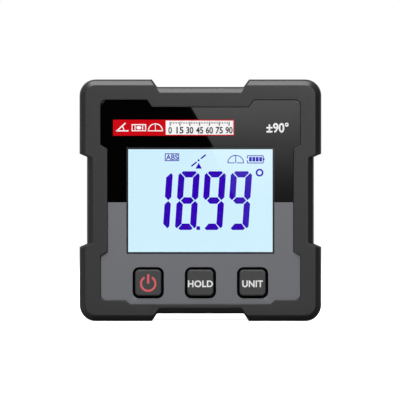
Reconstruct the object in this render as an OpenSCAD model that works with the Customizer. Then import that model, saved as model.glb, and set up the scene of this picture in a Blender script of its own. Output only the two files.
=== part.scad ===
// Digital angle gauge: a square magnetic inclinometer with a backlit display and three keys.
// It stands on its bottom pads and the display faces -Y. All sizes are in millimetres.
// A name that ends in _t is a distance from the front face towards the back. A name that ends
// in _z is a height above the middle of the case, and x is measured from the middle too.

/* [Case] */
// Width of the case
body_w = 60; // [60:0.5:66]
// Height of the case
body_h = 60; // [60:0.5:66]
// Depth of the case
body_d = 28; // [28:0.25:32]
// Radius of the four corners, seen from the front
corner_r = 4; // [3:0.25:5]
// Chamfer round the front edge
front_chamfer = 1.5; // [1:0.05:1.9]
// Width of the steep edge between that chamfer and the sides
front_rim = 0.38; // [0.2:0.02:0.5]
// Chamfer round the rear edge
rear_chamfer = 1; // [0.5:0.1:1.5]
// Thickness of the side walls
wall = 2; // [1.6:0.1:2.2]
// Thickness of the back wall
back_wall = 2; // [1.8:0.05:2.3]
// Distance from the front face to the parting line
split_t = 12; // [11.9:0.1:13]

/* [Side recesses] */
// Depth of the recess in the middle of each side
notch_d = 1.85; // [1:0.05:2]
// Length of the recess floor
notch_floor = 21.5; // [19:0.25:23]
// Run of the ramps at the ends of the top and bottom recesses
notch_top_ramp = 1.3; // [0.8:0.1:2]
// Run of the ramps at the ends of the left and right recesses
notch_side_ramp = 0.8; // [0.5:0.1:1.6]

/* [Face] */
// Depth of the recess that takes the face sheet
panel_recess = 1.2; // [1:0.05:1.3]
// Thickness of the face sheet
overlay_thick = 0.7; // [0.4:0.05:0.8]
// Distance from the case's side to the face sheet
panel_margin = 5.28; // [5:0.05:5.8]
// Distance from a recess floor to the face sheet
panel_waist_margin = 5.15; // [4.9:0.05:5.6]
// Distance from the case's side to the display opening
window_side = 11.9; // [11.7:0.1:13]
// Distance from the case's top or bottom to the display opening
window_rise = 16.95; // [16.9:0.05:18]
// Width of the label strip
label_w = 30.04; // [24:0.5:32]
// Height of the label strip
label_h = 3.97; // [3:0.1:4.4]

/* [Keys] */
// Width of a square key
key_w = 6.45; // [6:0.05:6.8]
// Distance between the keys' middles
key_pitch = 12.93; // [12.4:0.1:14]
// Height of the keys' middles above the base
key_rise = 9.57; // [9.4:0.05:9.7]
// Travel of a key
key_travel = 0.5; // [0.2:0.1:0.5]

/* [Power] */
// Diameter of an AAA cell
cell_d = 10.5; // [10:0.05:10.5]
// Length of an AAA cell with its button
cell_l = 44.5; // [43:0.1:44.6]
// Distance between the two cells' axes
cell_pitch = 11.2; // [11.1:0.05:11.4]
// Thickness of the battery door
door_thick = 1.6; // [1.2:0.05:1.7]

/* [Magnets] */
// Diameter of a magnet
magnet_d = 8; // [6:0.25:8]
// Thickness of a magnet
magnet_thick = 3; // [2:0.1:3]

/* [Hidden] */

over = 1;          // overrun of every cut
arc_steps = 8;     // straight pieces in a quarter of a moulded corner
fit = 0.1;         // gap between fixed pieces
$fn = 48;

half_w = body_w / 2;
half_h = body_h / 2;
window_w = body_w - 2 * window_side;
window_h = body_h - 2 * window_rise;
notch_half = notch_floor / 2;

rim_run = 0.9;             // depth that the steep edge takes

// Parting line: a small groove outside, a lip inside
groove = 0.2;
lip_h = 1;
lip_gap = 0.1;

// Face sheet: its edge follows the case's recesses
panel_top_margin = 5.16;
panel_brow_margin = 5.1;
panel_corner_r = 1.3;
panel_ramp_gap = 1.2;      // between the ends of a top recess and the sheet's own ramp
panel_side_gap = 2.04;     // the same at the sides
panel_side_ramp = 0.99;
panel_chin = 0.99;         // step of the chin below the keys
panel_chin_half = 17.44;
overlay_gap = 0.05;
overlay_sink = panel_recess - overlay_thick;
color_line_z = -0.51;      // where the black part of the sheet ends
label_thick = 0.1;
label_inset = 3.07;        // from the face sheet's side to the label
label_rise = 2.95;         // from the display opening to the label

// Case walls and posts
face_wall = 1.8;
face_back_t = panel_recess + face_wall;
boss_inset = 6;            // from the case's side to a screw
boss_r = 2.7;
rear_boss_r = 3.4;
boss_rib = 1.4;
screw_sink = 8;            // depth of the counterbores in the back
case_screw_l = 14;
case_screw_d = 2;
case_head_d = 4;
case_head_h = 1.5;
screw_clear = 0.3;         // on the diameter of a through hole
pilot_clear = 0.1;         // on the diameter of a screw's own hole
head_clear = 0.6;
screw_end_gap = 1;

// Keys and switches
key_z = key_rise - half_h;
key_corner_r = 1;
key_proud_sink = 0.05;     // key tops stay this far behind the front face
key_ring = 0.55;           // dark gap round a key in the face sheet
key_hole_gap = 0.25;
key_flange = 1.05;
key_flange_thick = 0.8;
key_flange_gap = 0.1;
key_flange_t = face_back_t + key_flange_gap;
key_crown = 0.12;
switch_w = 6;
switch_h = 3.5;
plunger_d = 3.4;
plunger_gap = 0.15;
plunger_depth = 1.2;       // how far the plunger reaches into its switch at rest

// Display stack
pane_gap = 0.1;
pane_sink = 0.1;
pane_flange = 1.4;
pane_flange_thick = 0.8;
pane_rib = 1;
stack_gap = 0.2;
glass_thick = 1.1;
rear_glass_thick = 0.95;
sheet_gap = 0.05;
diffuser_thick = 0.2;
guide_thick = 1.95;
reflector_thick = 0.2;
glass_margin = 1.2;        // glass beyond the opening, at the sides and below
glass_ledge = 4.4;         // glass beyond the opening, above: it carries the contacts
rear_glass_short = 2.6;    // how much lower the rear glass ends
frame_wall = 1.1;
frame_gap = 0.2;
strip_h = 1.7;
strip_gap = 0.25;
led_w = 1.6;
led_l = 3.2;
led_thick = 1.5;
led_gap = 0.2;
led_edge = 5.25;           // from the glass's lower edge to the lowest light's middle

glass_front_t = face_back_t + pane_flange_thick + stack_gap;
glass_back_t = glass_front_t + glass_thick;
rear_glass_back_t = glass_back_t + rear_glass_thick;
diffuser_t = rear_glass_back_t + sheet_gap;
guide_t = diffuser_t + diffuser_thick + sheet_gap;
reflector_t = guide_t + guide_thick + sheet_gap;
board_t = reflector_t + reflector_thick + stack_gap;
glass_half_w = window_w / 2 + glass_margin;
glass_bottom_z = -window_h / 2 - glass_margin;
glass_top_z = window_h / 2 + glass_ledge;
led_pitch = -glass_bottom_z - led_edge;
rear_glass_top_z = glass_top_z - rear_glass_short;

// Board
board_thick = 1.6;
board_gap = 0.55;
board_half_w = half_w - notch_d - wall - board_gap;
board_half_h = half_h - notch_d - wall - board_gap;
board_back_t = board_t + board_thick;
board_notch_gap = 0.5;
post_inset = 2.4;
post_z = 9;
post_r = 1.9;
board_screw_d = 1.7;
board_screw_l = 5.6;
board_head_d = 3.6;
board_head_h = 1.2;
chip_w = 9;
chip_h = 1;
chip_z = 5;
sensor_w = 3;
sensor_h = 1;
sensor_x = 12;
crystal_d = 2;
crystal_l = 6;
crystal_x = -12;

// Battery tray, counted from the back
door_sink = 0.1;
door_gap = 0.15;
door_ledge = 0.75;
door_r = 1.5;
seat_gap = 0.1;
cell_gap = 0.25;
cell_door_gap = 1.2;
tray_wall = 1.2;
contact_thick = 0.4;
contact_bump = 1;
contact_bump_r = 2;
spring_room = 4.3;
ridge_half = 1.5;
ridge_drop = 3.6;          // from the cells' axes to the ridge between them
door_t = body_d - door_sink - door_thick;
ledge_t = door_t - seat_gap;
cell_r = cell_d / 2;
tray_r = cell_r + cell_gap;
cell_t = ledge_t - cell_door_gap - cell_r;
tray_half_l = (cell_l + spring_room + contact_bump) / 2 + contact_thick;
tray_half_h = cell_pitch / 2 + tray_r;
door_half_w = tray_half_l + door_ledge;
door_half_h = tray_half_h + door_ledge;

// Battery door
hook_x = 15;
hook_w = 4;
hook_reach = 1;
hook_thick = 1.2;
hook_root = 1.2;
hook_gap = 0.2;
hook_room = 0.9;
hook_t = ledge_t - hook_gap - hook_thick;
tongue_w = 12;
tongue_l = 7;
slit_w = 0.8;
grip_count = 3;
grip_pitch = 1.5;
grip_w = 0.6;
grip_deep = 0.4;
door_rib_h = 0.8;
door_rib_w = 1.2;
nail_w = 14;
nail_h = 3;
nail_deep = 1;

// Contacts and springs
plate_w = 8;
plate_h = 8.6;
tab_w = 2;
tab_gap = 0.3;
wire_d = 0.6;
spring_base_r = 3.6;
spring_tip_r = 2.4;
spring_turns = 3;
spring_steps = 24;
wire_sides = 8;

// AAA cell
button_d = 3.8;
button_h = 0.8;
shoulder_r = 0.5;
crimp_deep = 0.25;
crimp_w = 0.8;
crimp_x = 2.4;             // from the cell's shoulder to its crimp
dimple_r = 3.9;
dimple_deep = 0.2;

// Magnets
magnet_inset = 11;         // from the case's side to a magnet's axis
magnet_sink = 0.1;
magnet_gap = 0.05;
magnet_t = (split_t + body_d) / 2;
magnet_block = 1.3;        // plastic behind and round a magnet

// Cross recess of a screw
cross_w = 0.5;
cross_deep = 0.6;
cross_share = 0.6;         // of the head's diameter

key_names = ["power_key", "hold_key", "unit_key"];
corner_signs = [[-1, -1], [1, -1], [-1, 1], [1, 1]];

// Outlines, as points counterclockwise seen from the front

function arc(c, r, a0, a1) =
    [for (i = [0:arc_steps]) let (a = a0 + (a1 - a0) * i / arc_steps) c + r * [cos(a), sin(a)]];

function flipped(points) = [for (i = [len(points) - 1:-1:0]) [-points[i][0], points[i][1]]];

// Moves an outline inwards by d, or outwards where d is negative, with mitred corners
function inset(points, d) =
    let (n = len(points))
    [for (i = [0:n - 1])
        let (u = points[i] - points[(i + n - 1) % n],
             v = points[(i + 1) % n] - points[i],
             nu = [-u[1], u[0]] / norm(u),
             nv = [-v[1], v[0]] / norm(v))
        points[i] + d * (nu + nv) / (1 + nu * nv)];

// Moves the edge that ends at each point inwards by its own distance
function each_inset(points, distances) =
    let (n = len(points))
    [for (i = [0:n - 1])
        let (u = points[i] - points[(i + n - 1) % n],
             v = points[(i + 1) % n] - points[i],
             nu = [-u[1], u[0]] / norm(u),
             nv = [-v[1], v[0]] / norm(v),
             du = distances[i],
             dv = distances[(i + 1) % n],
             k = nu * nv)
        points[i] + ((du - k * dv) * nu + (dv - k * du) * nv) / (1 - k * k)];

function rounded(w, h, r) =
    let (x = w / 2 - r, z = h / 2 - r)
    concat(arc([x, z], r, 0, 90), arc([-x, z], r, 90, 180),
           arc([-x, -z], r, 180, 270), arc([x, -z], r, 270, 360));

// The case: a square with round corners and a shallow recess in the middle of each side
function case_quarter() =
    concat([[half_w - notch_d, notch_half], [half_w, notch_half + notch_side_ramp]],
           arc([half_w - corner_r, half_h - corner_r], corner_r, 0, 90),
           [[notch_half + notch_top_ramp, half_h], [notch_half, half_h - notch_d]]);

function case_outline() =
    let (upper = concat(case_quarter(), flipped(case_quarter())))
    concat(upper, -upper);

// A ramp is the slanted edge at an end of a side recess
function is_ramp(a, b) =
    a[0] != b[0] && a[1] != b[1] &&
    (max(abs(a[0]), abs(b[0])) <= notch_half + notch_top_ramp ||
     max(abs(a[1]), abs(b[1])) <= notch_half + notch_side_ramp);

// The case's outline at the front: the sides move in by c, and the ramps only by the steep edge
function front_outline(c) =
    let (points = case_outline(), n = len(points))
    each_inset(points, [for (i = [0:n - 1]) is_ramp(points[(i + n - 1) % n], points[i]) ? front_rim : c]);

// The face sheet: right half from the chin up to the brow, then its mirror image
function panel_half() =
    let (x = half_w - panel_margin,
         waist = half_w - notch_d - panel_waist_margin,
         top = half_h - panel_top_margin,
         low = panel_margin - half_h,
         side = notch_half + panel_side_gap)
    concat([[panel_chin_half, low - panel_chin], [panel_chin_half + panel_ramp_gap, low]],
           arc([x - panel_corner_r, low + panel_corner_r], panel_corner_r, -90, 0),
           [[x, -side - panel_side_ramp], [waist, -side], [waist, side], [x, side + panel_side_ramp]],
           arc([x - panel_corner_r, top - panel_corner_r], panel_corner_r, 0, 90),
           [[notch_half + notch_top_ramp + panel_ramp_gap, top],
            [notch_half + panel_ramp_gap, half_h - notch_d - panel_brow_margin]]);

function panel_outline() = concat(panel_half(), flipped(panel_half()));

// Placing

// A flat shape seen from the front, solid from depth t0 to depth t1
module slab(t0, t1)
    translate([0, t1 - body_d / 2, half_h]) rotate([90, 0, 0]) linear_extrude(t1 - t0) children();

// A solid through outlines with equal numbers of points, each given as [depth, points]
module loft(rings) {
    n = len(rings[0][1]);
    last = len(rings) - 1;
    skin = [for (ring = rings, p = ring[1]) [p[0], ring[0], p[1]]];
    ends = [[0, rings[0][0], 0], [0, rings[last][0], 0]];
    front = n * (last + 1);
    faces = concat(
        [for (k = [0:n - 1]) [front, (k + 1) % n, k]],
        [for (r = [0:last - 1], k = [0:n - 1])
            [r * n + k, r * n + (k + 1) % n, (r + 1) * n + (k + 1) % n, (r + 1) * n + k]],
        [for (k = [0:n - 1]) [front + 1, last * n + k, last * n + (k + 1) % n]]);
    translate([0, -body_d / 2, half_h]) polyhedron(concat(skin, ends), faces);
}

// Puts children drawn along +Z at a point of the case, pointing along +X
module along_x(x, t, z)
    translate([x, t - body_d / 2, half_h + z]) rotate([0, 90, 0]) children();

module disc(x, z, d) translate([x, z]) circle(d = d);

module box_at(x, z, w, h) translate([x, z]) square([w, h], center = true);

function corner_at(i) =
    [corner_signs[i][0] * (half_w - boss_inset), corner_signs[i][1] * (half_h - boss_inset)];

function post_at(i) = [corner_signs[i][0] * (board_half_w - post_inset), corner_signs[i][1] * post_z];

function key_x(i) = (i - 1) * key_pitch;

// Case

// A length of the solid case from depth t0 to t1. The rings of its front edge are given, and its
// rear edge has a chamfer c. The loft runs on past both ends and is cut off square, so that each
// end is one flat face.
module case_block(t0, t1, edge_rings, c) {
    outline = case_outline();
    intersection() {
        loft(concat(edge_rings, [[t1 - c, outline], [t1 + over, inset(outline, c + over)]]));
        slab(t0, t1) square([body_w + over, body_h + over], center = true);
    }
}

function plain_edge(t, c) = [[t - over, inset(case_outline(), c + over)], [t + c, case_outline()]];

// The front edge: a wide chamfer, then a steep one that also runs down the ramps
function front_edge() =
    let (rim_t = front_chamfer - front_rim)
    [[-over, front_outline(front_chamfer + over)], [rim_t, inset(case_outline(), front_rim)],
     [rim_t + rim_run, case_outline()]];

// A screw boss and the two ribs that tie it to the corner's walls
module boss(i, r) disc(corner_at(i)[0], corner_at(i)[1], 2 * r);

module boss_ribs(i) {
    reach = boss_inset - wall / 2;
    translate(corner_at(i)) scale([corner_signs[i][0], corner_signs[i][1]]) {
        translate([0, -boss_rib / 2]) square([reach, boss_rib]);
        translate([-boss_rib / 2, 0]) square([boss_rib, reach]);
    }
}

module front_shell() color("#47484a") {
    outline = case_outline();
    difference() {
        union() {
            difference() {
                case_block(0, split_t, front_edge(), groove);
                slab(face_back_t, split_t + over) polygon(inset(outline, wall));
            }
            slab(split_t - lip_h, split_t + lip_h) difference() {
                polygon(inset(outline, wall / 2 + lip_gap));
                polygon(inset(outline, wall));
            }
            slab(face_back_t, split_t) for (i = [0:3]) {
                boss(i, boss_r);
                boss_ribs(i);
            }
            slab(face_back_t, board_t) for (i = [0:3]) disc(post_at(i)[0], post_at(i)[1], 2 * post_r);
            window_rib();
        }
        slab(-over, panel_recess) polygon(inset(panel_outline(), -overlay_gap));
        slab(panel_recess / 2, face_back_t + over) square([window_w, window_h], center = true);
        for (i = [0:2])
            slab(panel_recess / 2, face_back_t + over) translate([key_x(i), key_z])
                polygon(rounded(key_w + 2 * key_hole_gap, key_w + 2 * key_hole_gap,
                                key_corner_r + key_hole_gap));
        for (i = [0:3]) {
            slab(split_t - (case_screw_l - (body_d - screw_sink - split_t)) - screw_end_gap, split_t + over)
                disc(corner_at(i)[0], corner_at(i)[1], case_screw_d + pilot_clear);
            slab(board_back_t - board_screw_l - screw_end_gap / 2, board_t + over)
                disc(post_at(i)[0], post_at(i)[1], board_screw_d + pilot_clear);
        }
    }
}

// Low rib behind the face that locates the window's flange
module window_rib() {
    w = window_w + 2 * (pane_flange + pane_gap);
    h = window_h + 2 * (pane_flange + pane_gap);
    slab(face_back_t, face_back_t + pane_flange_thick) difference() {
        square([w + 2 * pane_rib, h + 2 * pane_rib], center = true);
        square([w, h], center = true);
    }
}

// The room for the two cells, grown by g: two troughs, open to the back
module tray_form(g, back_t) {
    half_l = tray_half_l + g;
    for (s = [-1, 1]) {
        along_x(-half_l, cell_t, s * cell_pitch / 2) cylinder(r = tray_r + g, h = 2 * half_l);
        slab(cell_t, back_t) box_at(0, s * cell_pitch / 2, 2 * half_l, 2 * (tray_r + g));
    }
    slab(cell_t - ridge_drop - g, back_t) square([2 * half_l, 2 * ridge_half], center = true);
}

module rear_cover() color("#434446") {
    outline = case_outline();
    head_t = body_d - screw_sink;
    difference() {
        union() {
            difference() {
                case_block(split_t, body_d, plain_edge(split_t, groove), rear_chamfer);
                slab(split_t - over, body_d - back_wall) polygon(inset(outline, wall));
            }
            slab(split_t, body_d - back_wall / 2) for (i = [0:3]) {
                boss(i, rear_boss_r);
                boss_ribs(i);
            }
            for (i = [1:8]) magnet_pose(i) magnet_seat();
            tray_form(tray_wall, body_d - back_wall / 2);
        }
        slab(split_t - over, split_t + lip_h + lip_gap) difference() {
            polygon(inset(outline, wall / 2));
            polygon(inset(outline, wall + lip_gap));
        }
        tray_form(0, body_d + over);
        slab(ledge_t, body_d + over) polygon(rounded(2 * (door_half_w + door_gap),
            2 * (door_half_h + door_gap), door_r + door_gap));
        slab(body_d - nail_deep, body_d + over)
            box_at(0, door_half_h + nail_h / 2, nail_w, nail_h + over / 2);
        for (s = [-1, 1]) slab(hook_t - hook_room, ledge_t)
            box_at(s * hook_x, -door_half_h - hook_reach / 2, hook_w + 2 * hook_gap,
                   hook_reach + 2 * door_ledge + 2 * hook_gap);
        for (s = [-1, 1]) tab_slot(s);
        for (i = [1:8]) magnet_pose(i)
            cylinder(d = magnet_d + 2 * magnet_gap, h = magnet_thick + magnet_sink + over);
        for (i = [0:3]) {
            slab(split_t - over, body_d + over)
                disc(corner_at(i)[0], corner_at(i)[1], case_screw_d + screw_clear);
            slab(head_t, body_d + over)
                disc(corner_at(i)[0], corner_at(i)[1], case_head_d + head_clear);
        }
    }
}

// The way of a contact's tab from the tray to the board, at the +X end
module tab_slot(s)
    slab(split_t, cell_t)
        box_at(tray_half_l - contact_thick / 2, s * cell_pitch / 2,
               contact_thick + 2 * tab_gap, tab_w + 2 * tab_gap);

// Puts a magnet drawn along +Z with its inner face at z = 0 into side pad i
module magnet_pose(i) {
    side = floor((i - 1) / 2);                  // bottom, right, top, left
    s = i % 2 == 0 ? 1 : -1;
    across = side % 2 == 0 ? half_w - magnet_inset : half_h - magnet_inset;
    out = (side % 2 == 0 ? half_h : half_w) - magnet_sink - magnet_thick;
    translate([0, magnet_t - body_d / 2, half_h]) rotate([0, 180 - 90 * side, 0])
        translate([s * across, 0, out]) children();
}

module magnet_seat() {
    w = magnet_d + 2 * magnet_block;
    translate([-w / 2, -w / 2, -magnet_block])
        cube([w, w, magnet_block + magnet_thick + magnet_sink - wall / 2]);
}

module magnet(i) color("#b9bcc0") magnet_pose(i) cylinder(d = magnet_d, h = magnet_thick);

module screw(head_d, head_h, d, l, head_t) {
    slab(head_t - l, head_t) circle(d = d);
    difference() {
        slab(head_t, head_t + head_h) circle(d = head_d);
        for (a = [0, 90]) slab(head_t + head_h - cross_deep, head_t + head_h + over)
            rotate(a) square([cross_share * head_d, cross_w], center = true);
    }
}

module case_screw(i) color("#8d9094")
    translate([corner_at(i)[0], 0, corner_at(i)[1]])
        screw(case_head_d, case_head_h, case_screw_d, case_screw_l, body_d - screw_sink);

// Battery door

module battery_door() color("#3f4042") {
    out_t = body_d - door_sink;
    difference() {
        union() {
            slab(door_t, out_t) polygon(rounded(2 * door_half_w, 2 * door_half_h, door_r));
            for (s = [-1, 1]) {
                slab(door_t - door_rib_h, door_t)
                    box_at(0, s * cell_pitch / 2, 2 * (door_half_w - hook_x / 2), door_rib_w);
                door_hook(s * hook_x);
            }
        }
        for (s = [-1, 1]) slab(door_t - over, body_d)
            box_at(s * (tongue_w + slit_w) / 2, door_half_h - tongue_l / 2 + over / 2,
                   slit_w, tongue_l + over);
        for (k = [0:grip_count - 1]) slab(out_t - grip_deep, body_d)
            box_at(0, door_half_h - (k + 1) * grip_pitch, tongue_w - 2 * slit_w, grip_w);
    }
}

// A hook goes in behind the case's back wall, below the door
module door_hook(x) {
    root_z = door_ledge + hook_gap - door_half_h;
    arm_l = hook_reach + door_ledge + hook_gap + hook_root / 2;
    slab(hook_t, door_t) box_at(x, root_z + hook_root / 2, hook_w, hook_root);
    slab(hook_t, ledge_t - hook_gap)
        box_at(x, arm_l / 2 - hook_reach - door_half_h, hook_w, arm_l);
}

// Face

module face_overlay() {
    color("#060607") overlay_part(color_line_z, half_h);
    color("#707175") overlay_part(-half_h, color_line_z);
}

// The printed sheet between heights z0 and z1, with its display opening and key holes
module overlay_part(z0, z1)
    slab(overlay_sink, panel_recess) difference() {
        intersection() {
            polygon(panel_outline());
            translate([-half_w, z0]) square([body_w, z1 - z0]);
        }
        square([window_w + 2 * pane_gap, window_h + 2 * pane_gap], center = true);
        for (i = [0:2]) translate([key_x(i), key_z])
            polygon(rounded(key_w + 2 * key_ring, key_w + 2 * key_ring, key_corner_r + key_ring));
    }

module label_strip() color("#c9121c")
    slab(overlay_sink - label_thick, overlay_sink)
        translate([panel_margin + label_inset - half_w, window_h / 2 + label_rise])
            square([label_w, label_h]);

module display_window() color("#cfeefd", 0.4) {
    slab(overlay_sink + pane_sink, face_back_t + pane_flange_thick)
        square([window_w - 2 * pane_gap, window_h - 2 * pane_gap], center = true);
    slab(face_back_t, face_back_t + pane_flange_thick)
        square([window_w + 2 * pane_flange, window_h + 2 * pane_flange], center = true);
}

// A key: a slightly crowned cap on a flange that stops it behind the face
module key(i) color("#464647") translate([key_x(i), 0, key_z]) {
    cap = rounded(key_w, key_w, key_corner_r);
    loft([[key_proud_sink, inset(cap, key_crown * 2)], [key_proud_sink + key_crown, cap],
          [key_flange_t + key_flange_thick / 2, cap]]);
    slab(key_flange_t, key_flange_t + key_flange_thick)
        square([key_w + 2 * key_flange, key_w + 2 * key_flange], center = true);
}

// Display

module glass(t0, t1, top_z)
    slab(t0, t1) translate([-glass_half_w, glass_bottom_z])
        square([2 * glass_half_w, top_z - glass_bottom_z]);

module display_front_glass() color("#cfeefd", 0.6) glass(glass_front_t, glass_back_t, glass_top_z);

module display_rear_glass() color("#bfe3f2", 0.6)
    glass(glass_back_t, rear_glass_back_t, rear_glass_top_z);

module contact_strip() color("#2b2b2e")
    slab(glass_back_t, board_t) translate([-glass_half_w + glass_margin,
        rear_glass_top_z + strip_gap + sheet_gap]) square([window_w, strip_h]);

module diffuser_sheet() color("#f4f6f8") glass(diffuser_t, diffuser_t + diffuser_thick, rear_glass_top_z);

module light_guide() color("#e8f4fb", 0.7)
    slab(guide_t, guide_t + guide_thick) translate([-glass_half_w, glass_bottom_z])
        square([2 * glass_half_w - led_w - 2 * led_gap, rear_glass_top_z - glass_bottom_z]);

module reflector_sheet() color("#f7f7f7")
    slab(reflector_t, reflector_t + reflector_thick) translate([-glass_half_w, glass_bottom_z])
        square([2 * glass_half_w - led_w - 2 * led_gap, rear_glass_top_z - glass_bottom_z]);

module backlight(i) color("#f6e7a8")
    slab(board_t - led_thick, board_t)
        box_at(glass_half_w - led_gap - led_w / 2, (i - 1) * led_pitch, led_w, led_l);

module display_frame() color("#e9eaec")
    slab(glass_front_t, board_t) difference() {
        translate([-glass_half_w - frame_gap - frame_wall, glass_bottom_z - frame_gap - frame_wall])
            square([2 * (glass_half_w + frame_gap + frame_wall),
                    glass_top_z - glass_bottom_z + 2 * (frame_gap + frame_wall)]);
        translate([-glass_half_w - frame_gap, glass_bottom_z - frame_gap])
            square([2 * (glass_half_w + frame_gap), glass_top_z - glass_bottom_z + 2 * frame_gap]);
    }

// Electronics

module main_board() color("#1f6b45")
    slab(board_t, board_back_t) difference() {
        square([2 * board_half_w, 2 * board_half_h], center = true);
        for (i = [0:3]) {
            translate(corner_at(i)) scale(corner_signs[i])
                translate([-1, -1] * (rear_boss_r + board_notch_gap)) square(boss_inset * 2);
            disc(post_at(i)[0], post_at(i)[1], board_screw_d + screw_clear);
        }
    }

module board_screw(i) color("#b4b6b9")
    translate([post_at(i)[0], 0, post_at(i)[1]])
        screw(board_head_d, board_head_h, board_screw_d, board_screw_l, board_back_t);

module controller_chip() color("#202124")
    slab(board_back_t, board_back_t + chip_h) box_at(0, chip_z, chip_w, chip_w);

module tilt_sensor() color("#2a2b2f")
    slab(board_back_t, board_back_t + sensor_h) box_at(sensor_x, chip_z, sensor_w, sensor_w);

module crystal() color("#c2c5c9")
    along_x(crystal_x - crystal_l / 2, board_back_t + crystal_d / 2, -chip_z)
        cylinder(d = crystal_d, h = crystal_l);

module switch_body(i) color("#1b1b1d")
    slab(board_t - switch_h, board_t) translate([key_x(i), key_z]) square(switch_w, center = true);

module plunger(i) color("#c8b26a")
    slab(key_flange_t + key_flange_thick, board_t - switch_h + plunger_depth)
        disc(key_x(i), key_z, plunger_d);

// A switch's body with the round hole that its plunger slides in
module switch_shell(i) difference() {
    switch_body(i);
    color("#1b1b1d")
        slab(board_t - switch_h - over, board_t - switch_h + plunger_depth + key_travel + fit)
            disc(key_x(i), key_z, plunger_d + 2 * plunger_gap);
}

// Power

// A cell along +Z, button end up, turned from one profile
module cell_form() {
    can_l = cell_l - button_h;
    rotate_extrude() polygon([
        [0, dimple_deep], [dimple_r, dimple_deep], [dimple_r + dimple_deep, 0],
        [cell_r - shoulder_r, 0], [cell_r, shoulder_r],
        [cell_r, can_l - crimp_x - crimp_w], [cell_r - crimp_deep, can_l - crimp_x - crimp_w / 2],
        [cell_r, can_l - crimp_x],
        [cell_r, can_l - shoulder_r], [cell_r - shoulder_r, can_l],
        [button_d / 2, can_l], [button_d / 2, cell_l], [0, cell_l]]);
}

// Cell 1 is the lower one with its button towards +X, cell 2 the upper one, turned round
module power_pose(i) {
    s = i == 1 ? 1 : -1;
    translate([0, cell_t - body_d / 2, half_h - s * cell_pitch / 2]) rotate([0, s * 90, 0]) children();
}

module cell(i) color("#b8863b") power_pose(i)
    translate([0, 0, tray_half_l - contact_thick - contact_bump - cell_l]) cell_form();

// A contact plate with its outer face at z = 0, round where it stands in the cell's trough
module plate()
    translate([0, 0, -contact_thick]) linear_extrude(contact_thick) intersection() {
        square([plate_w, plate_h], center = true);
        circle(r = tray_r - fit);
    }

module plus_contact() color("#c9c6bb") {
    power_pose(1) translate([0, 0, tray_half_l]) contact_with_bump();
    contact_tab(-1);
}

module contact_with_bump() {
    plate();
    translate([0, 0, -contact_thick - contact_bump])
        cylinder(r1 = contact_bump_r / 2, r2 = contact_bump_r, h = contact_bump);
}

module contact_tab(s)
    slab(board_back_t, cell_t)
        box_at(tray_half_l - contact_thick / 2, s * cell_pitch / 2, contact_thick, tab_w);

module minus_contact() color("#c9c6bb") {
    power_pose(2) translate([0, 0, -tray_half_l]) rotate([180, 0, 0]) plate();
    contact_tab(1);
}

module bridge_contact() color("#c9c6bb") {
    bar_h = 2 * (ridge_drop - fit);
    power_pose(2) translate([0, 0, tray_half_l]) contact_with_bump();
    power_pose(1) translate([0, 0, -tray_half_l]) rotate([180, 0, 0]) plate();
    translate([-tray_half_l, cell_t - (body_d + bar_h) / 2, half_h - cell_pitch / 2])
        cube([contact_thick, bar_h, cell_pitch]);
}

// A conical coil along +Z: a ring of the wire's section swept by a formula
module coil(base_r, tip_r, l, turns) {
    r = wire_d / 2;
    n = turns * spring_steps;
    rise = l - wire_d;
    skin = [for (k = [0:n]) let (a = 360 * k / spring_steps, c = base_r + (tip_r - base_r) * k / n,
                                 z = r + rise * k / n)
        for (j = [0:wire_sides - 1]) let (b = 360 * j / wire_sides, q = c + r * cos(b))
            [q * cos(a), q * sin(a), z + r * sin(b)]];
    faces = concat(
        [[for (j = [wire_sides - 1:-1:0]) j]],
        [for (k = [0:n - 1], j = [0:wire_sides - 1]) let (j2 = (j + 1) % wire_sides, p = k * wire_sides)
            [p + j, p + j2, p + wire_sides + j2, p + wire_sides + j]],
        [[for (j = [0:wire_sides - 1]) n * wire_sides + j]]);
    polyhedron(skin, faces);
}

// Each spring stands on a plate at its cell's flat end
module spring(i) color("#d5d7da") power_pose(i)
    translate([0, 0, contact_thick - tray_half_l]) coil(spring_base_r, spring_tip_r, spring_room, spring_turns);

// Nodes

front_shell();
rear_cover();
battery_door();
face_overlay();
label_strip();
display_window();
display_front_glass();
display_rear_glass();
contact_strip();
diffuser_sheet();
light_guide();
reflector_sheet();
display_frame();
main_board();
controller_chip();
tilt_sensor();
crystal();
plus_contact();
minus_contact();
bridge_contact();
for (i = [0:2]) key(i);
for (i = [1:2]) cell(i);
for (i = [1:2]) spring(i);
for (i = [1:3]) backlight(i - 1);
for (i = [1:3]) switch_shell(i - 1);
for (i = [1:3]) plunger(i - 1);
for (i = [1:4]) board_screw(i - 1);
for (i = [1:4]) case_screw(i - 1);
for (i = [1:8]) magnet(i);
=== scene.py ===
# Digital angle gauge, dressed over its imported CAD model. Metres, with the CAD model's own frame:
# +X to the right of the display, +Y from the display to the back, +Z up, standing on its base.
import math

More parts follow.
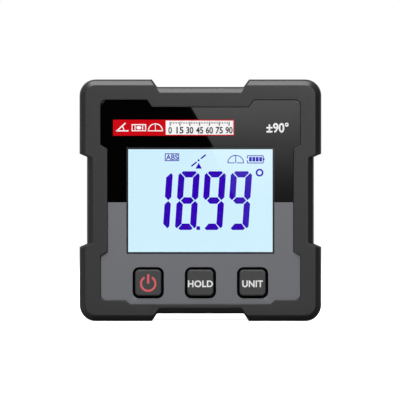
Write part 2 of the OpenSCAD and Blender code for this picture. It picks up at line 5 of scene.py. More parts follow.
import bmesh
import bpy
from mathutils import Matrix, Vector


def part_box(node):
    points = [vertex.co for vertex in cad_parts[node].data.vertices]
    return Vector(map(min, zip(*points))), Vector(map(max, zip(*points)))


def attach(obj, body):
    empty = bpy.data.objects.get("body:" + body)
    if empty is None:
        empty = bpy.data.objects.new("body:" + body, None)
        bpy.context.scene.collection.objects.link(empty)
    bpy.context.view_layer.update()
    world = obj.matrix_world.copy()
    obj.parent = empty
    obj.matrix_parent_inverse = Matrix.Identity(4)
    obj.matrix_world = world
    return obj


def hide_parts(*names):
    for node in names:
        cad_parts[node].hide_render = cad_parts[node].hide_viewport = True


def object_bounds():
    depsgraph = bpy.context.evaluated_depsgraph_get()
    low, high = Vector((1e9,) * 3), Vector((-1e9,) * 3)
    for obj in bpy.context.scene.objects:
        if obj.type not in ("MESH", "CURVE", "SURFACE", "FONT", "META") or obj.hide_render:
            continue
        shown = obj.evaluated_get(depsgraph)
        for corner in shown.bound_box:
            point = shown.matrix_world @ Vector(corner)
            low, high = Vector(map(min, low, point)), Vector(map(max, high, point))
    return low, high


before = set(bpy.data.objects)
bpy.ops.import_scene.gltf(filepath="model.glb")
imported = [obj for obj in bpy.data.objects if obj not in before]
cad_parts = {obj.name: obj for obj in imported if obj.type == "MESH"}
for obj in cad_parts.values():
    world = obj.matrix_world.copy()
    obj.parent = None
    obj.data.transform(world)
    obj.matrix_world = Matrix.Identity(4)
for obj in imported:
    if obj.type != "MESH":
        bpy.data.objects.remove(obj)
cad_low, cad_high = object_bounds()
MM = 0.001


# Camera
# A long lens looks straight at the middle of the display, from so far away that the sides of the
# case stay hidden behind its front edge.

case_middle = (cad_low + cad_high) / 2
view_width = 99.05 * MM      # what 400 pixels cover at the front face
lens_mm, sensor_mm = 300, 36
aim = Vector((-0.1 * MM, 0, 0.07 * MM))
camera_distance = view_width * lens_mm / sensor_mm

camera_data = bpy.data.cameras.new("camera")
camera_data.lens = lens_mm
camera_data.sensor_width = sensor_mm
camera_data.clip_start = 0.01
camera = bpy.data.objects.new("camera", camera_data)
camera.location = (aim.x, cad_low.y - camera_distance, case_middle.z + aim.z)
camera.rotation_euler = (math.radians(90), 0, 0)
bpy.context.collection.objects.link(camera)
bpy.context.scene.camera = camera
bpy.context.scene.view_settings.view_transform = "Standard"


# Floor
# White paper under the gauge. Far off it glows up to pure white for the camera and in mirrors and
# glass, and near the gauge it stays plain paper, so that the gauge's shadow shows. In mirrors and
# glass the paper stays dark grey until white_from behind the gauge: a painted shadow round the gauge.

def mesh_object(name, vertices, faces):
    mesh = bpy.data.meshes.new(name)
    mesh.from_pydata([tuple(v) for v in vertices], [], faces)
    mesh.update()
    made = bpy.data.objects.new(name, mesh)
    bpy.context.collection.objects.link(made)
    return made


def new_finish(name):
    finish = bpy.data.materials.new(name)
    finish.use_nodes = True
    tree = finish.node_tree
    return finish, tree.nodes, tree.links, tree.nodes["Principled BSDF"]


def math_node(nodes, links, operation, *values):
    """A Math node whose inputs are numbers or other nodes' outputs."""
    made = nodes.new("ShaderNodeMath")
    made.operation = operation
    for socket, value in zip(made.inputs, values):
        if isinstance(value, (int, float)):
            socket.default_value = value
        else:
            links.new(value, socket)
    return made.outputs[0]


def ramp_node(nodes, links, value, low, high, to_low=0.0, to_high=1.0, smooth=True):
    """A value mapped from one range to another, held at its ends."""
    made = nodes.new("ShaderNodeMapRange")
    made.interpolation_type = "SMOOTHSTEP" if smooth else "LINEAR"
    for label, number in (("From Min", low), ("From Max", high), ("To Min", to_low), ("To Max", to_high)):
        made.inputs[label].default_value = number
    links.new(value, made.inputs["Value"])
    return made.outputs[0]


def object_place(nodes, links):
    """A node that splits the place on an object into X, Y and Z."""
    where = nodes.new("ShaderNodeTexCoord")
    parts = nodes.new("ShaderNodeSeparateXYZ")
    links.new(where.outputs["Object"], parts.inputs[0])
    return parts


def two_tone(nodes, links, factor, tone_a, tone_b):
    """A mix of two tones, each a colour or another node's output."""
    made = nodes.new("ShaderNodeMix")
    made.data_type = "RGBA"
    links.new(factor, made.inputs["Factor"])
    for label, tone in (("A", tone_a), ("B", tone_b)):
        if isinstance(tone, tuple):
            made.inputs[label].default_value = tone
        else:
            links.new(tone, made.inputs[label])
    return made.outputs["Result"]


def light_path(nodes, links):
    """A light path node, and whether its ray comes from a mirror or through glass."""
    path = nodes.new("ShaderNodeLightPath")
    glossy, through = path.outputs["Is Glossy Ray"], path.outputs["Is Transmission Ray"]
    return path, math_node(nodes, links, "MAXIMUM", glossy, through)


floor_half = 1.5
white_from, white_full = 0.2, 0.9           # metres behind the gauge, for mirrors and glass
near_glow, glow_from, glow_full = 0.93, 0.06, 0.35
floor = mesh_object("floor", [(-floor_half, -floor_half, 0), (floor_half, -floor_half, 0),
                              (floor_half, floor_half, 0), (-floor_half, floor_half, 0)], [(0, 1, 2, 3)])
floor_finish, nodes, links, shader = new_finish("floor_paper")
shader.inputs["Roughness"].default_value = 0.9
shader.inputs["Emission Color"].default_value = (1, 1, 1, 1)
path, mirrored = light_path(nodes, links)
where = nodes.new("ShaderNodeTexCoord")
reach = nodes.new("ShaderNodeVectorMath")
reach.operation = "LENGTH"
links.new(where.outputs["Object"], reach.inputs[0])
parts = object_place(nodes, links)
behind = ramp_node(nodes, links, parts.outputs["Y"], white_from, white_full)
shown = math_node(nodes, links, "MAXIMUM", path.outputs["Is Camera Ray"],
                  math_node(nodes, links, "MULTIPLY", mirrored, behind))
# Dark grey in mirrors and glass near the gauge is a painted shadow; the camera sees pale paper.
paper_and_mirrored_shade = two_tone(nodes, links, shown, (0.1, 0.1, 0.1, 1), (0.9, 0.9, 0.9, 1))
links.new(paper_and_mirrored_shade, shader.inputs["Base Color"])
glow = ramp_node(nodes, links, reach.outputs["Value"], glow_from, glow_full, near_glow, 1)
links.new(math_node(nodes, links, "MULTIPLY", glow, shown), shader.inputs["Emission Strength"])
floor.data.materials.append(floor_finish)


# Room
# A white room stands behind the gauge. In front it is seen only by gloss: a soft glow, brighter
# above, with a dark place where the camera stands, so that the black sheet mirrors nothing there.

world = bpy.data.worlds.new("room")
bpy.context.scene.world = world
world.use_nodes = True
nodes, links = world.node_tree.nodes, world.node_tree.links
path, mirrored = light_path(nodes, links)
where = nodes.new("ShaderNodeTexCoord")
along = nodes.new("ShaderNodeSeparateXYZ")
links.new(where.outputs["Generated"], along.inputs[0])
sideways = nodes.new("ShaderNodeVectorMath")
sideways.operation = "MULTIPLY"
sideways.inputs[1].default_value = (1, 0, 1)
links.new(where.outputs["Generated"], sideways.inputs[0])
off_axis = nodes.new("ShaderNodeVectorMath")
off_axis.operation = "LENGTH"
links.new(sideways.outputs[0], off_axis.inputs[0])
room_low, room_high, ambient = 0.2, 1.45, 0.05
wall_low, wall_high = 0.015, 0.3
white_start, white_end = 0.97, 0.993        # these are parts of a direction of length 1
front_start, front_end = -0.55, -0.85
dark_start, dark_end = 0.07, 0.2
wall_start, wall_end = 0.42, 0.66
dim_start, dim_end, dim_share = 0.75, 0.86, 0.15
white_behind = ramp_node(nodes, links, along.outputs["Y"], white_start, white_end)
in_front = ramp_node(nodes, links, along.outputs["Y"], front_start, front_end)
round_camera = ramp_node(nodes, links, off_axis.outputs["Value"], dark_start, dark_end)
height_glow = ramp_node(nodes, links, along.outputs["Z"], -0.45, 0.45, room_low, room_high, smooth=False)
side_glow = ramp_node(nodes, links, along.outputs["X"], -0.4, 0.4, 0.85, 1.2, smooth=False)
room_glow = math_node(nodes, links, "MULTIPLY", height_glow, side_glow)
off_camera = math_node(nodes, links, "MULTIPLY", in_front, round_camera)
front_glow = math_node(nodes, links, "MULTIPLY", off_camera, room_glow)
walls_near = ramp_node(nodes, links, along.outputs["Y"], wall_start, wall_end, wall_low, wall_high)
walls_far = ramp_node(nodes, links, along.outputs["Y"], dim_start, dim_end, 1, dim_share)
all_walls = math_node(nodes, links, "MULTIPLY", walls_near, walls_far)
not_front = math_node(nodes, links, "SUBTRACT", 1, in_front)
walls = math_node(nodes, links, "MULTIPLY", all_walls, not_front)
room_light = math_node(nodes, links, "ADD", math_node(nodes, links, "ADD", white_behind, front_glow), walls)
mirror_light = math_node(nodes, links, "MULTIPLY", mirrored, room_light)
shown = math_node(nodes, links, "MAXIMUM", path.outputs["Is Camera Ray"], mirror_light)
strength = math_node(nodes, links, "MULTIPLY_ADD", path.outputs["Is Diffuse Ray"], ambient, shown)
links.new(strength, nodes["Background"].inputs["Strength"])
nodes["Background"].inputs["Color"].default_value = (1, 1, 1, 1)


# Lamps
# A soft box hangs over the gauge and makes its upper chamfer bright. The fills are kept out of the
# gloss and light the face from the front, and the sides and the back from behind.

def soft_box(name, place, size, power, in_gloss=True, in_diffuse=True):
    lamp = bpy.data.lights.new(name, "AREA")
    lamp.shape = "RECTANGLE"
    lamp.size, lamp.size_y = size
    lamp.energy = power
    box = bpy.data.objects.new(name, lamp)
    box.location = place
    box.rotation_euler = (case_middle - Vector(place)).to_track_quat("-Z", "Y").to_euler()
    box.visible_glossy = in_gloss
    box.visible_diffuse = in_diffuse
    box.visible_transmission = False
    bpy.context.collection.objects.link(box)


soft_box("top_box", (-0.03, -0.06, 0.40), (0.4, 0.3), 1.85)
soft_box("front_fill", (-0.21, -0.43, 0.31), (0.25, 0.25), 2.65, in_gloss=False)
soft_box("gloss_box", (0.085, -0.28, 0.14), (0.11, 0.11), 0.14, in_diffuse=False)
soft_box("left_fill", (-0.46, 0.43, 0.2), (0.3, 0.3), 3.6, in_gloss=False)
soft_box("right_fill", (0.46, 0.43, 0.2), (0.3, 0.3), 3.6, in_gloss=False)


# Mirrored card
# Only the gloss sees this card, beside the camera. Its left edge slants and its light fades
# downwards, which gives the black sheet and the window their slanting reflection.

card_y = camera.location.y - 60 * MM
mirror_scale = (cad_low.y - card_y) / camera_distance + 1
card_edge = [(193.9, 107.9), (211.8, 148.4)]   # pixels on the edge of the reflection
card_top, card_low, card_right = 60, 320, 360
fade_top, fade_low = 80, 205
pixel = view_width / 400


def mirrored_at(pixel_x, pixel_z):
    return ((pixel_x - 200) * pixel * mirror_scale, case_middle.z + (200 - pixel_z) * pixel * mirror_scale)


def slant(pixel_z):
    (x0, z0), (x1, z1) = card_edge
    return x0 + (x1 - x0) * (pixel_z - z0) / (z1 - z0)


corners = [mirrored_at(slant(card_top), card_top), mirrored_at(card_right, card_top),
           mirrored_at(card_right, card_low), mirrored_at(slant(card_low), card_low)]
card = mesh_object("mirror_card", [(x, card_y, z) for x, z in corners], [(0, 1, 2, 3)])
card_finish, nodes, links, shader = new_finish("card_glow")
nodes.remove(shader)
parts = object_place(nodes, links)
lit = nodes.new("ShaderNodeEmission")
fade_z0, fade_z1 = mirrored_at(0, fade_low)[1], mirrored_at(0, fade_top)[1]
fade = ramp_node(nodes, links, parts.outputs["Z"], fade_z0, fade_z1, 0.25, 2)
links.new(fade, lit.inputs["Strength"])
links.new(lit.outputs[0], nodes["Material Output"].inputs["Surface"])
card.data.materials.append(card_finish)
card.visible_camera = False
card.visible_diffuse = False
card.visible_transmission = False
card.visible_shadow = False


# Case halves
# Two mouldings of dark grey ABS with a fine spark-eroded grain, screwed together from the back.
# They meet at a small groove, and every edge has the slight round that a mould leaves.

def rounded_copy(name, node, width, steps=3, sharp=19):
    """A copy of a CAD node's mesh with its sharp edges rounded, standing for that node."""
    shape = bmesh.new()
    shape.from_mesh(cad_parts[node].data)
    bmesh.ops.scale(shape, vec=Vector((1, 1, 1)) / MM, verts=shape.verts)   # worked on in millimetres
    bmesh.ops.remove_doubles(shape, verts=shape.verts, dist=1e-4)
    bmesh.ops.dissolve_limit(shape, angle_limit=math.radians(1), verts=shape.verts, edges=shape.edges)
    bmesh.ops.triangulate(shape, faces=shape.faces[:], quad_method="BEAUTY", ngon_method="BEAUTY")
    hard = [e for e in shape.edges if e.is_manifold and e.calc_face_angle(0) > math.radians(sharp)]
    bmesh.ops.bevel(shape, geom=hard, offset=width / MM, offset_type="OFFSET", segments=steps, profile=0.5,
                    affect="EDGES", clamp_overlap=False, miter_outer="ARC")
    bmesh.ops.scale(shape, vec=Vector((1, 1, 1)) * MM, verts=shape.verts)
    mesh = bpy.data.meshes.new(name)
    shape.to_mesh(mesh)
    shape.free()
    mesh.shade_smooth()
    made = bpy.data.objects.new(name, mesh)
    bpy.context.collection.objects.link(made)
    weigh = made.modifiers.new("flat_faces_stay_flat", "WEIGHTED_NORMAL")
    weigh.mode = "FACE_AREA"
    settle(made)
    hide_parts(node)
    return made


def settle(made):
    """Turns an object with its modifiers into one plain mesh."""
    seen = made.evaluated_get(bpy.context.evaluated_depsgraph_get())
    flat = bpy.data.meshes.new_from_object(seen)
    made.modifiers.clear()
    made.data = flat


def put_on(made, finish, body):
    """Gives a piece its finish and the body that it rides on."""
    made.data.materials.clear()
    made.data.materials.append(finish)
    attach(made, body)


def new_group(name, inputs, outputs):
    """An empty shader node group with named inputs, each with its value, and named outputs."""
    group = bpy.data.node_groups.new(name, "ShaderNodeTree")
    for label, value in inputs.items():
        kind = "NodeSocketColor" if isinstance(value, tuple) else "NodeSocketFloat"
        group.interface.new_socket(label, in_out="INPUT", socket_type=kind).default_value = value
    for label, kind in outputs.items():
        group.interface.new_socket(label, in_out="OUTPUT", socket_type=kind)
    given, result = group.nodes.new("NodeGroupInput"), group.nodes.new("NodeGroupOutput")
    return group, group.nodes, group.links, given, result


def noise_node(nodes, links, scale, detail=2.0, where=None):
    """Noise in object coordinates, with its scale a number or an output."""
    made = nodes.new("ShaderNodeTexNoise")
    made.inputs["Detail"].default_value = detail
    if where is None:
        where = nodes.new("ShaderNodeTexCoord").outputs["Object"]
    links.new(where, made.inputs["Vector"])
    if isinstance(scale, (int, float)):
        made.inputs["Scale"].default_value = scale
    else:
        links.new(scale, made.inputs["Scale"])
    return made.outputs["Fac"]


def grain_group():
    """Spark-eroded mould grain: fine pits, and slow changes of shade across a part."""
    group, nodes, links, given, result = new_group(
        "moulded_grain", {"Grain Size": 0.00025, "Shade Change": 0.1},
        {"Height": "NodeSocketFloat", "Shade": "NodeSocketFloat"})
    scale = math_node(nodes, links, "DIVIDE", 1, given.outputs["Grain Size"])
    links.new(noise_node(nodes, links, scale, 4), result.inputs["Height"])
    swing = math_node(nodes, links, "SUBTRACT", noise_node(nodes, links, 60), 0.5)
    shade = math_node(nodes, links, "MULTIPLY_ADD", swing, given.outputs["Shade Change"], 1)
    links.new(shade, result.inputs["Shade"])
    return group


moulded_grain = grain_group()


def shaded(nodes, links, colour, shade):
    """A colour made lighter or darker by another node's output."""
    tint = nodes.new("ShaderNodeVectorMath")
    tint.operation = "SCALE"
    tint.inputs[0].default_value = colour
    links.new(shade, tint.inputs["Scale"])
    return tint.outputs[0]


def moulded_plastic(name, colour, roughness, grain_size, grain_depth, specular=0.5, shade_change=0.1):
    """A moulded plastic: its colour, gloss and grain."""
    finish, nodes, links, shader = new_finish(name)
    grain = nodes.new("ShaderNodeGroup")
    grain.node_tree = moulded_grain
    grain.inputs["Grain Size"].default_value = grain_size
    grain.inputs["Shade Change"].default_value = shade_change
    links.new(shaded(nodes, links, colour, grain.outputs["Shade"]), shader.inputs["Base Color"])
    shader.inputs["Roughness"].default_value = roughness
    shader.inputs["Specular IOR Level"].default_value = specular
    bump = nodes.new("ShaderNodeBump")
    bump.inputs["Strength"].default_value = 1
    bump.inputs["Distance"].default_value = grain_depth
    links.new(grain.outputs["Height"], bump.inputs["Height"])
    links.new(bump.outputs[0], shader.inputs["Normal"])
    return finish


case_plastic = moulded_plastic("case_plastic", (0.0252, 0.0252, 0.0256), 0.34, 0.00022, 0.000008)
for name, node in (("case_front", "front_shell"), ("case_back", "rear_cover")):
    put_on(rounded_copy(name, node, 0.14 * MM), case_plastic, "case")


# Screws
# Zinc-plated steel screws with a cross recess. Four hold the case together at the bottom of deep
# holes in the back, and four hold the board to its posts.

def metal_group():
    """Plated metal: faint scratches and slow changes of polish."""
    group, nodes, links, given, result = new_group(
        "plated_metal", {"Polish": 0.25, "Wear": 0.2},
        {"Roughness": "NodeSocketFloat", "Height": "NodeSocketFloat", "Shade": "NodeSocketFloat"})
    where = nodes.new("ShaderNodeTexCoord")
    stretch = nodes.new("ShaderNodeVectorMath")
    stretch.operation = "MULTIPLY"
    stretch.inputs[1].default_value = (1, 1, 8)
    links.new(where.outputs["Object"], stretch.inputs[0])
    scratch = noise_node(nodes, links, 1500, 3, stretch.outputs[0])
    blotch = noise_node(nodes, links, 400)
    swing = math_node(nodes, links, "SUBTRACT", blotch, 0.5)
    links.new(math_node(nodes, links, "MULTIPLY_ADD", swing, given.outputs["Wear"], given.outputs["Polish"]),
              result.inputs["Roughness"])
    links.new(scratch, result.inputs["Height"])
    streak = math_node(nodes, links, "SUBTRACT", scratch, 0.5)
    links.new(math_node(nodes, links, "MULTIPLY_ADD", streak, 0.15, 1), result.inputs["Shade"])
    return group


plated_metal = metal_group()


def metal(name, colour, polish, wear=0.2):
    """A plated metal in one colour."""
    finish, nodes, links, shader = new_finish(name)
    plating = nodes.new("ShaderNodeGroup")
    plating.node_tree = plated_metal
    plating.inputs["Polish"].default_value = polish
    plating.inputs["Wear"].default_value = wear
    links.new(shaded(nodes, links, colour, plating.outputs["Shade"]), shader.inputs["Base Color"])
    links.new(plating.outputs["Roughness"], shader.inputs["Roughness"])
    shader.inputs["Metallic"].default_value = 1
    bump = nodes.new("ShaderNodeBump")
    bump.inputs["Distance"].default_value = 0.000004
    links.new(plating.outputs["Height"], bump.inputs["Height"])
    links.new(bump.outputs[0], shader.inputs["Normal"])
    return finish


zinc = metal("zinc_plate", (0.5, 0.51, 0.53), 0.3)
for i in range(1, 5):
    put_on(rounded_copy(f"case_bolt_{i}", f"case_screw_{i}", 0.1 * MM, 2, 40), zinc, "case")
    put_on(rounded_copy(f"board_bolt_{i}", f"board_screw_{i}", 0.08 * MM, 2, 40), zinc, "case")


# Magnets
# Sintered magnets with a bright nickel skin, pressed into the pads on all four sides and glued.
# Their rims are ground to a small radius.

nickel = metal("nickel_plate", (0.66, 0.64, 0.6), 0.44, 0.12)
for i in range(1, 9):
    put_on(rounded_copy(f"side_magnet_{i}", f"magnet_{i}", 0.3 * MM, 3, 40), nickel, "case")


# Battery door
# A lid of the case's plastic that hooks in below and snaps shut above with a grooved tongue. It lifts
# out with a fingernail in the hollow over the tongue.

put_on(rounded_copy("back_door", "battery_door", 0.1 * MM), case_plastic, "battery_door")


# Face sheet
# One sheet of polycarbonate printed from behind, gloss black above and satin grey below, glued into
# the recess of the front half. A black band is printed under it round each key, and in the gap round
# the key it is painted shade.

color_line = case_middle.z - 0.51 * MM
grey_print, black_print, black_polish = (0.151, 0.154, 0.167, 1), (0.0009, 0.0009, 0.001, 1), 0.012
sheet_finish, nodes, links, shader = new_finish("printed_sheet")
parts = object_place(nodes, links)
upper = math_node(nodes, links, "GREATER_THAN", parts.outputs["Z"], color_line)
print_tone = two_tone(nodes, links, upper, grey_print, black_print)
links.new(print_tone, shader.inputs["Base Color"])
satin = math_node(nodes, links, "MULTIPLY_ADD", noise_node(nodes, links, 900, 3), 0.06, 0.35)
gloss = nodes.new("ShaderNodeMix")
links.new(upper, gloss.inputs["Factor"])
links.new(satin, gloss.inputs["A"])
gloss.inputs["B"].default_value = black_polish
links.new(gloss.outputs["Result"], shader.inputs["Roughness"])
texture = nodes.new("ShaderNodeBump")
texture.inputs["Distance"].default_value = 0.000002
lower = math_node(nodes, links, "SUBTRACT", 1, upper)
lower_grain = math_node(nodes, links, "MULTIPLY", noise_node(nodes, links, 9000, 2), lower)
links.new(lower_grain, texture.inputs["Height"])
links.new(texture.outputs[0], shader.inputs["Normal"])
put_on(rounded_copy("face_sheet", "face_overlay", 0.04 * MM, 2), sheet_finish, "case")


def ink_and_painted_shade(name, colour, roughness=0.35, specular=0.3, unevenness=0.06):
    """A printed ink, also used for painted shade: one colour with the faint unevenness of a screen print."""
    finish, nodes, links, shader = new_finish(name)
    swing = math_node(nodes, links, "SUBTRACT", noise_node(nodes, links, 3000, 3), 0.5)
    shade = math_node(nodes, links, "MULTIPLY_ADD", swing, unevenness, 1)
    links.new(shaded(nodes, links, colour, shade), shader.inputs["Base Color"])
    shader.inputs["Roughness"].default_value = roughness
    shader.inputs["Specular IOR Level"].default_value = specular
    return finish


def draw_out(shape, points, along):
    """Draws a flat outline out into a prism, in a mesh that is being made."""
    ring = [shape.verts.new(point) for point in points]
    grown = bmesh.ops.extrude_face_region(shape, geom=[shape.faces.new(ring)])
    moved = [g for g in grown["geom"] if isinstance(g, bmesh.types.BMVert)]
    bmesh.ops.translate(shape, verts=moved, vec=along)


def object_of(shape, name):
    """The mesh that was made, as an object in the scene."""
    bmesh.ops.recalc_face_normals(shape, faces=shape.faces)
    mesh = bpy.data.meshes.new(name)
    shape.to_mesh(mesh)
    shape.free()
    made = bpy.data.objects.new(name, mesh)
    bpy.context.collection.objects.link(made)
    return made


def flat_shape(name, outlines, front, thick):
    """Flat prisms seen from the front. Each outline is a list of (x, z) from the case's middle, in
    millimetres, and front is the place of their front faces along Y."""
    shape = bmesh.new()
    for outline in outlines:
        points = [(x * MM, front, case_middle.z + z * MM) for x, z in outline]
        draw_out(shape, points, (0, thick, 0))
    return object_of(shape, name)


def rounded_ring(x, z, outer, inner, outer_r, inner_r, steps=6):
    """A square ring with round corners, as quads."""
    def edge(size, r):
        points = []
        for quarter in range(4):
            sx, sz = ((1, 1), (-1, 1), (-1, -1), (1, -1))[quarter]
            for i in range(steps + 1):
                a = math.radians(90 * (quarter + i / steps))
                points.append((x + sx * (size / 2 - r) + r * math.cos(a),
                               z + sz * (size / 2 - r) + r * math.sin(a)))
        return points
    out, into = edge(outer, outer_r), edge(inner, inner_r)
    count = len(out)
    return [[into[i], out[i], out[(i + 1) % count], into[(i + 1) % count]] for i in range(count)]


def in_face(node):
    """The middle of a node's box in (x, z) from the case's middle, in millimetres."""
    low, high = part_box(node)
    return (low.x + high.x) / 2 / MM, ((low.z + high.z) / 2 - case_middle.z) / MM


key_nodes = ["power_key", "hold_key", "unit_key"]
key_size, key_round, key_gap, ring_width = 6.45, 1.0, 0.1, 0.66
sheet_front, sheet_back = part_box("face_overlay")[0].y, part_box("face_overlay")[1].y
key_places = [in_face(node) for node in key_nodes]
# Black bands round the keys: printed, and in the gap round each key they are painted shade.
gap_shade_outlines = []
for x, z in key_places:
    gap_shade_outlines += rounded_ring(x, z, key_size + 2 * ring_width, key_size + 2 * key_gap,
                          key_round + ring_width, key_round + key_gap)
gap_shade_rings = flat_shape("key_gap_shade", gap_shade_outlines, sheet_front - 0.02 * MM, sheet_back - sheet_front + 0.02 * MM)
put_on(gap_shade_rings, ink_and_painted_shade("gap_shade_black", (0.0008, 0.0009, 0.001), 0.5, 0.02), "case")


# Window
# A clear acrylic pane fills the opening, held by its flange behind the face. A thin dark line round
# its edge is painted shade, where the edge of the opening shadows the display.

pane_finish, nodes, links, shader = new_finish("clear_acrylic")
shader.inputs["Base Color"].default_value = (1, 1, 1, 1)
shader.inputs["IOR"].default_value = 1.49
shader.inputs["Transmission Weight"].default_value = 1
haze = math_node(nodes, links, "MULTIPLY", noise_node(nodes, links, 200), 0.01)
links.new(haze, shader.inputs["Roughness"])


def finish_node(node, finish):
    """Gives a CAD node that keeps its own shape its finish."""
    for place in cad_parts[node].material_slots:
        place.material = finish


finish_node("display_window", pane_finish)


def bar(x0, z0, x1, z1, width):
    """The four corners of a straight stroke."""
    along = Vector((x1 - x0, z1 - z0)).normalized()
    side = Vector((-along.y, along.x)) * width / 2
    ends = ((x0, z0, -1), (x1, z1, -1), (x1, z1, 1), (x0, z0, 1))
    return [(x + s * side.x, z + s * side.y) for x, z, s in ends]


def frame_bars(x0, z0, x1, z1, width):
    """Four strokes that make a rectangular frame, inside its outer edge."""
    h = width / 2
    return [bar(x0, z0 + h, x1, z0 + h, width), bar(x0, z1 - h, x1, z1 - h, width),
            bar(x0 + h, z0 + width, x0 + h, z1 - width, width),
            bar(x1 - h, z0 + width, x1 - h, z1 - width, width)]


# The dark line round the window is painted shade at the edge of the opening.
border_half_w, border_top, border_low, border_width = 18.33, 13.09, -13.27, 0.45
edge_shade_bars = frame_bars(-border_half_w, border_low, border_half_w, border_top, border_width)
edge_shade = flat_shape("window_edge_shade", edge_shade_bars, sheet_front - 0.015 * MM, 0.02 * MM)
put_on(edge_shade, ink_and_painted_shade("edge_shade_finish", (0.024, 0.027, 0.033), 0.02, 0.5), "case")


# Label strip
# A thin sticker over the display, one field red and one white with a red edge. Its marks are plain
# ones: an angle, a level and a half circle, and a scale of degrees.

strip_low, strip_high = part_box("label_strip")
label_red = ink_and_painted_shade("label_red", (0.58, 0.003, 0.008), 0.4, 0.03, 0.03)
finish_node("label_strip", label_red)
strip_x1 = strip_high.x / MM
strip_z0, strip_z1 = (strip_low.z - case_middle.z) / MM, (strip_high.z - case_middle.z) / MM
field_x, edge_width, ink_thick = -8.58, 0.25, 0.02 * MM
field_x1, field_z0, field_z1 = strip_x1 - edge_width, strip_z0 + edge_width, strip_z1 - edge_width
label_white = ink_and_painted_shade("label_white", (0.95, 0.93, 0.935), 0.35, 0.5, 0.02)
field_outline = [(field_x, field_z0), (field_x1, field_z0), (field_x1, field_z1), (field_x, field_z1)]
field = flat_shape("label_field", [field_outline], strip_low.y - ink_thick, ink_thick)
put_on(field, label_white, "case")


def arc_bars(x, z, radius, a0, a1, width, steps):
    """Short strokes along an arc of a circle, between angles in degrees."""
    at = [math.radians(a0 + (a1 - a0) * i / steps) for i in range(steps + 1)]
    outer = [(x + (radius + width / 2) * math.cos(a), z + (radius + width / 2) * math.sin(a)) for a in at]
    inner = [(x + (radius - width / 2) * math.cos(a), z + (radius - width / 2) * math.sin(a)) for a in at]
    return [[inner[i], outer[i], outer[i + 1], inner[i + 1]] for i in range(steps)]


def fan(x, z, radius_x, radius_z, a0, a1, steps):
    """A filled piece of an ellipse, as one outline."""
    at = [math.radians(a0 + (a1 - a0) * i / steps) for i in range(steps + 1)]
    return [(x + radius_x * math.cos(a), z + radius_z * math.sin(a)) for a in at]


mark, mark_z = 0.3, 17.2     # the width of a stroke, and the line that the marks stand on
angle_x, level_x, half_x = -20.7, -15.25, -11.15
arm, slope = 2.9, 42
arm_x, arm_z = arm * math.cos(math.radians(slope)), arm * math.sin(math.radians(slope))
marks = [bar(angle_x - 0.2, mark_z, angle_x + arm, mark_z, mark),
         bar(angle_x, mark_z, angle_x + arm_x, mark_z + arm_z, mark)]
marks += arc_bars(angle_x, mark_z, 1.75, 4, slope - 4, mark * 0.8, 8)
marks += frame_bars(level_x - 1.8, mark_z - 0.1, level_x + 1.8, mark_z + 1.65, mark * 0.8)
marks += [bar(level_x - 0.95, mark_z + 0.2, level_x - 0.95, mark_z + 1.35, mark * 0.7),
          bar(level_x + 0.95, mark_z + 0.2, level_x + 0.95, mark_z + 1.35, mark * 0.7),
          fan(level_x, mark_z + 0.78, 0.6, 0.42, 0, 345, 23)]
marks += arc_bars(half_x, mark_z, 1.75, 0, 180, mark * 0.8, 16)
marks += [bar(half_x - 1.9, mark_z, half_x + 1.9, mark_z, mark * 0.8),
          bar(half_x, mark_z, half_x, mark_z + 1.75, mark * 0.6)]
red_marks = flat_shape("label_marks", marks, strip_low.y - ink_thick, ink_thick)
put_on(red_marks, label_white, "case")


def lettering(name, text, x, z, width, height, front, thick, weight=0.0, spacing=1.0):
    """Sans letters as a thin mesh, fitted to a box seen from the front (in millimetres)."""
    curve = bpy.data.curves.new(name, "FONT")
    curve.body = text
    curve.size = 1
    curve.offset = weight
    curve.space_character = spacing
    curve.extrude = 0.05
    curve.align_x = "CENTER"
    made = bpy.data.objects.new(name, curve)
    bpy.context.collection.objects.link(made)
    flat = bpy.data.meshes.new_from_object(made.evaluated_get(bpy.context.evaluated_depsgraph_get()))
    bpy.data.objects.remove(made)
    low = [min(v.co[k] for v in flat.vertices) for k in range(3)]
    high = [max(v.co[k] for v in flat.vertices) for k in range(3)]
    for v in flat.vertices:
        share = [(v.co[k] - low[k]) / (high[k] - low[k]) for k in range(3)]
        v.co = ((x + (share[0] - 0.5) * width) * MM, front + (1 - share[2]) * thick,
                case_middle.z + (z + (share[1] - 0.5) * height) * MM)
    made = bpy.data.objects.new(name, flat)
    bpy.context.collection.objects.link(made)
    return made


def repeat_tree():
    """Copies of the modifier's own mesh along a straight row."""
    tree = bpy.data.node_groups.new("repeat_in_row", "GeometryNodeTree")
    tree.is_modifier = True
    face = tree.interface
    face.new_socket("Geometry", in_out="INPUT", socket_type="NodeSocketGeometry")
    face.new_socket("Count", in_out="INPUT", socket_type="NodeSocketInt").default_value = 2
    face.new_socket("Step", in_out="INPUT", socket_type="NodeSocketVector")
    face.new_socket("Finish", in_out="INPUT", socket_type="NodeSocketMaterial")
    face.new_socket("Geometry", in_out="OUTPUT", socket_type="NodeSocketGeometry")
    nodes, links = tree.nodes, tree.links
    given, result = nodes.new("NodeGroupInput"), nodes.new("NodeGroupOutput")
    row = nodes.new("GeometryNodeMeshLine")
    row.mode = "OFFSET"
    links.new(given.outputs["Count"], row.inputs["Count"])
    links.new(given.outputs["Step"], row.inputs["Offset"])
    place = nodes.new("GeometryNodeInstanceOnPoints")
    links.new(row.outputs[0], place.inputs["Points"])
    links.new(given.outputs["Geometry"], place.inputs["Instance"])
    real = nodes.new("GeometryNodeRealizeInstances")
    links.new(place.outputs[0], real.inputs[0])
    dress = nodes.new("GeometryNodeSetMaterial")
    links.new(real.outputs[0], dress.inputs["Geometry"])
    links.new(given.outputs["Finish"], dress.inputs["Material"])
    links.new(dress.outputs[0], result.inputs["Geometry"])
    return tree


row_tree = repeat_tree()
row_inputs = {item.name: item.identifier for item in row_tree.interface.items_tree if item.in_out == "INPUT"}


